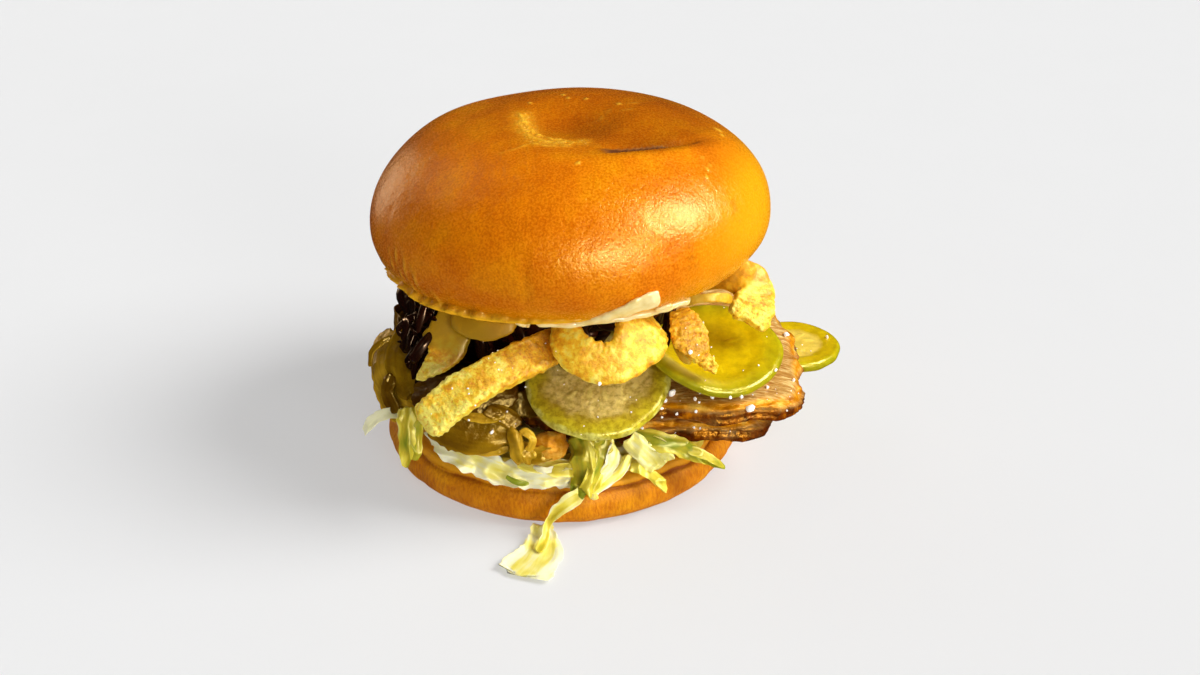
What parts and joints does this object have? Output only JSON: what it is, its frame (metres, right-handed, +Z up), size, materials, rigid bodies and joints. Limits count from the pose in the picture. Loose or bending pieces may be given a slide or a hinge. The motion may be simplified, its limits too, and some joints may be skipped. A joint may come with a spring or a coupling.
{
  "type": "roast pork sandwich",
  "caption": "Hot sandwich in a tall glossy round bun: shredded lettuce, roast pork slices, soft onions, pickle slices, puffed pork cracklings and white sauce show at its sides.",
  "frame": {"origin": "centre of the bottom bun's flat underside, on the surface that the sandwich stands on", "axes": "+Z up through the bun, -Y towards the front with the looped crackling and the hanging lettuce, +X towards the side where the pork overhangs"},
  "size_m": [0.1385, 0.131, 0.0997],
  "materials": {
    "bun_crust": "glossy golden brown crust",
    "white_sauce": "wet creamy white",
    "lettuce": "thin moist pale green leaf",
    "roast_pork": "glazed meat with a dark browned edge",
    "cooked_onion": "soft glossy and slightly clear",
    "dark_onion": "glossy dark strands",
    "pickle": "wet and slightly clear with a darker rind",
    "crackling": "dry puffed golden surface"
  },
  "bodies": {
    "root": {"bottom_bun": "bun_crust", "top_bun": "bun_crust", "white_sauce": "white_sauce", "crackling_long": "crackling", "crackling_loop": "crackling", "crackling_left": "crackling", "crackling_tucked_left": "crackling", "crackling_small_right": "crackling", "crackling_far_right": "crackling", "crackling_tucked_right": "crackling", "crackling_back_left": "crackling", "crackling_back_loop": "crackling", "crackling_back_right": "crackling", "crackling_right": "crackling", "pickle_front": "pickle", "pickle_right": "pickle", "pickle_far_right": "pickle", "pickle_back_left": "pickle", "pickle_back_right": "pickle", "pork_slice_upper_right": "roast_pork", "pork_slice_lower_right": "roast_pork", "pork_slice_lower_left": "roast_pork", "pork_slice_back": "roast_pork", "pork_piece_front": "roast_pork", "onion_curl_front": "cooked_onion", "onion_petal_front": "cooked_onion", "onion_petal_left_upper": "cooked_onion", "onion_petal_left_lower": "cooked_onion", "lettuce_strand": "lettuce", "lettuce_leaf_left": "lettuce", "lettuce_shred_left": "lettuce", "lettuce_leaf_right": "lettuce", "lettuce_leaf_front": "lettuce", "cooked_onions": "cooked_onion", "dark_onions": "dark_onion", "shredded_lettuce": "lettuce"}
  },
  "joints": []
}
